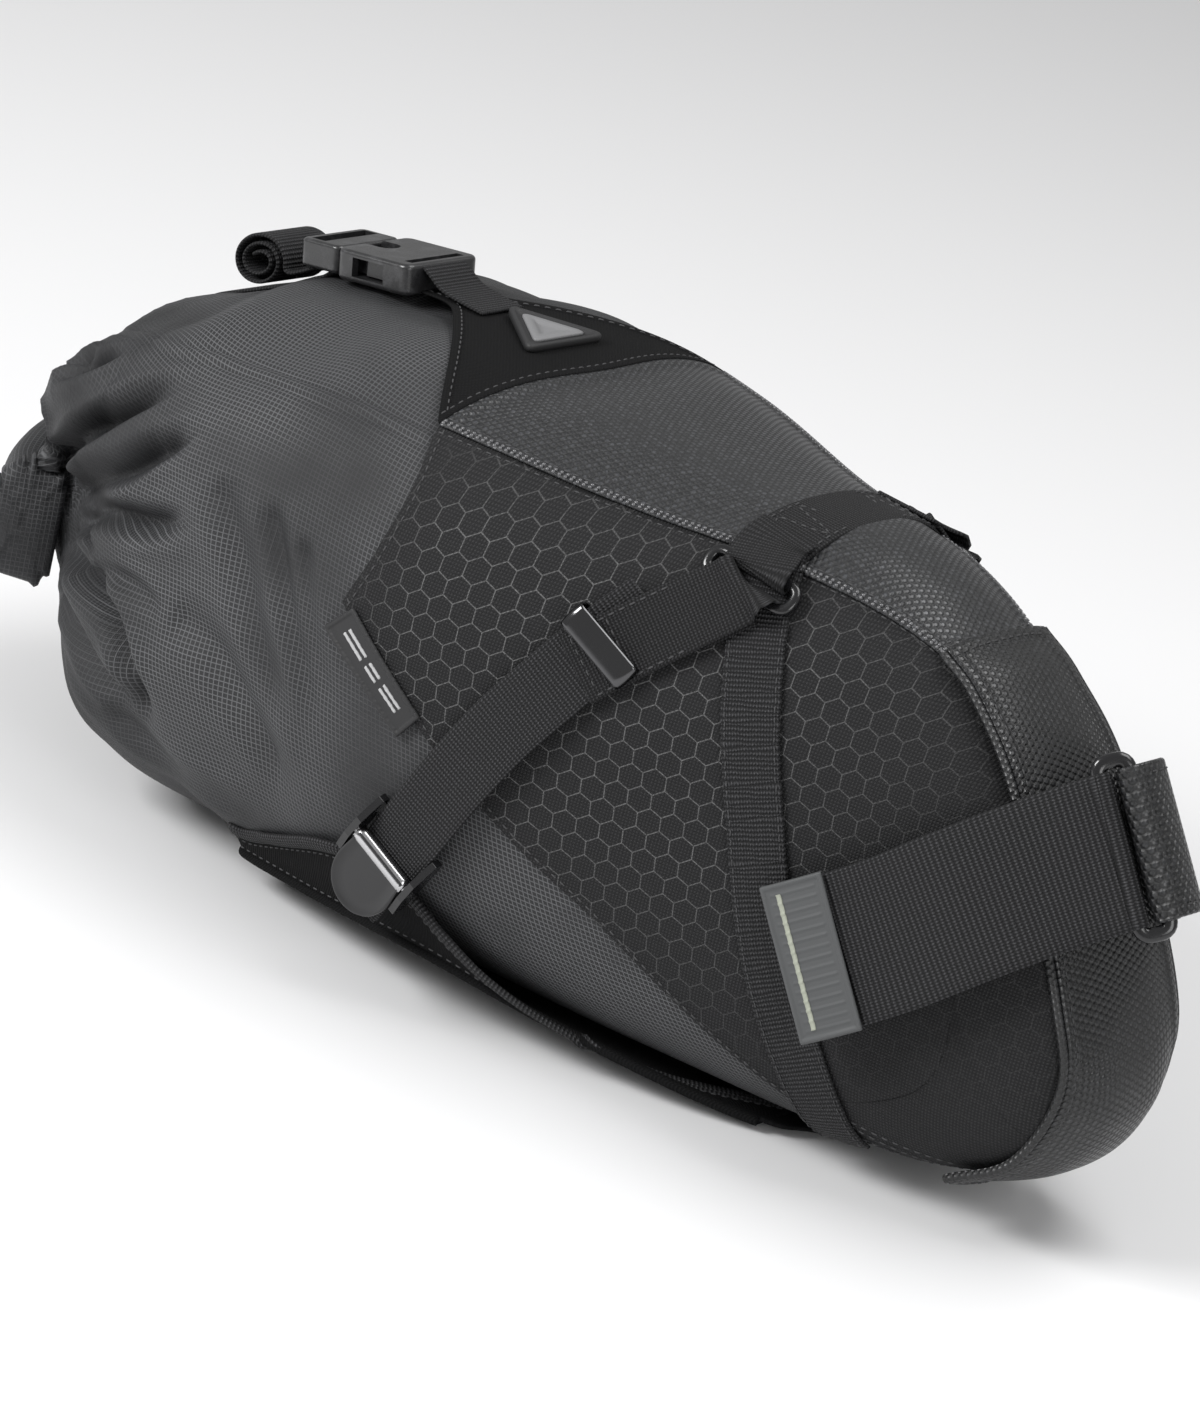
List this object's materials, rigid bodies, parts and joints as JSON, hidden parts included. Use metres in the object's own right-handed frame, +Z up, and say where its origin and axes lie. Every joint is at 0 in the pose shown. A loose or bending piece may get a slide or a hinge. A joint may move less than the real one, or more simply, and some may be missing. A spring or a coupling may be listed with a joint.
{
  "type": "saddle bag",
  "caption": "Bicycle saddle bag in its filled form: tapered soft body with a rolled rear closure, rail straps with cam buckles and a wide hook-and-loop seatpost strap.",
  "frame": {"origin": "on the flat resting face of the sling under the bag, at the middle of its width", "axes": "+X forward to the seatpost, +Y to the rider's left, +Z up"},
  "size_m": [0.5124, 0.2192, 0.2101],
  "materials": {
    "bag_fabric": "coated ripstop, soft sheen",
    "print_fabric": "matt woven with a light hexagon print",
    "coated_fabric": "coated, embossed, satin",
    "twill": "matt heavy twill",
    "piping": "matt bound edge",
    "webbing": "ribbed nylon webbing",
    "rubber": "moulded, matt",
    "gloss_black": "smooth gloss",
    "satin_black": "fine moulded grain",
    "black_metal": "gloss black enamel",
    "steel": "polished pin",
    "stiffener": "sheet plastic"
  },
  "bodies": {
    "bag": {"badge": "rubber", "base_sheet": "stiffener", "bottom_sling": "twill", "buckle_female": "satin_black", "buckle_tab_left": "webbing", "buckle_tab_right": "webbing", "cam_frame_left": "gloss_black", "cam_frame_right": "gloss_black", "cam_pin_left": "steel", "cam_pin_right": "steel", "crosspiece": "webbing", "main_bag": "bag_fabric", "nose_gusset": "coated_fabric", "nose_piping_left": "piping", "nose_piping_right": "piping", "post_band": "coated_fabric", "post_ring": "gloss_black", "rail_ring_left": "gloss_black", "rail_ring_right": "gloss_black", "rail_strap_left": "webbing", "rail_strap_right": "webbing", "side_panel_left": "print_fabric", "side_panel_right": "print_fabric", "side_strap_left": "webbing", "side_strap_right": "webbing", "side_tag_left": "rubber", "side_tag_right": "rubber", "sling_wing_left": "twill", "sling_wing_right": "twill", "tail_strap_left": "webbing", "tail_strap_right": "webbing", "top_panel": "coated_fabric", "top_yoke": "twill", "yoke_webbing": "webbing"},
    "lever_right": {"cam_lever_right": "gloss_black"},
    "lever_left": {"cam_lever_left": "gloss_black"},
    "keeper_right": {"keeper_clip_right": "black_metal"},
    "keeper_left": {"keeper_clip_left": "black_metal"},
    "pull_strap": {"post_strap": "webbing", "pull_label": "rubber"},
    "buckle_tongue": {"buckle_male": "satin_black", "closure_strap": "webbing", "strap_coil": "webbing"},
    "prong_right": {"buckle_prong_right": "satin_black"},
    "prong_left": {"buckle_prong_left": "satin_black"},
    "roll": {"roll_closure": "bag_fabric", "roll_stiffener": "stiffener"}
  },
  "joints": [
    {"name": "cam_lever_right_turn", "type": "hinge", "parent": "bag", "child": "lever_right", "pos_m": [-0.00285, -0.10463, 0.0549], "axis": [-0.8602, -0.1519, 0.4869], "range_deg": [0, 80]},
    {"name": "cam_lever_left_turn", "type": "hinge", "parent": "bag", "child": "lever_left", "pos_m": [-0.00285, 0.10463, 0.0549], "axis": [0.8602, -0.1519, -0.4869], "range_deg": [0, 80]},
    {"name": "keeper_right_slide", "type": "slide", "parent": "bag", "child": "keeper_right", "axis": [0.3973, 0.3648, 0.8421], "range_m": [-0.004, 0.004]},
    {"name": "keeper_left_slide", "type": "slide", "parent": "bag", "child": "keeper_left", "axis": [0.3973, -0.3648, 0.8421], "range_m": [-0.004, 0.004]},
    {"name": "pull_strap_peel", "type": "hinge", "parent": "bag", "child": "pull_strap", "pos_m": [0.22385, -0.01785, 0.13766], "axis": [-0.5878, 0, 0.809], "range_deg": [0, 95]},
    {"name": "buckle_release", "type": "slide", "parent": "bag", "child": "buckle_tongue", "axis": [-0.9848, 0, -0.1736], "range_m": [0, 0.026]},
    {"name": "prong_right_squeeze", "type": "hinge", "parent": "buckle_tongue", "child": "prong_right", "pos_m": [-0.1523, -0.0104, 0.19909], "axis": [-0.1736, 0, 0.9848], "range_deg": [0, 8], "stiffness_Nm_per_rad": 0.05},
    {"name": "prong_left_squeeze", "type": "hinge", "parent": "buckle_tongue", "child": "prong_left", "pos_m": [-0.1523, 0.0104, 0.19909], "axis": [-0.1736, 0, 0.9848], "range_deg": [-8, 0], "stiffness_Nm_per_rad": 0.05},
    {"name": "roll_tilt", "type": "hinge", "parent": "bag", "child": "roll", "pos_m": [-0.237, 0, 0.112], "axis": [0, 1, 0], "range_deg": [0, 30]}
  ],
  "couplings": [
    {"joint": "prong_left_squeeze", "follows": "prong_right_squeeze", "ratio": -1}
  ]
}
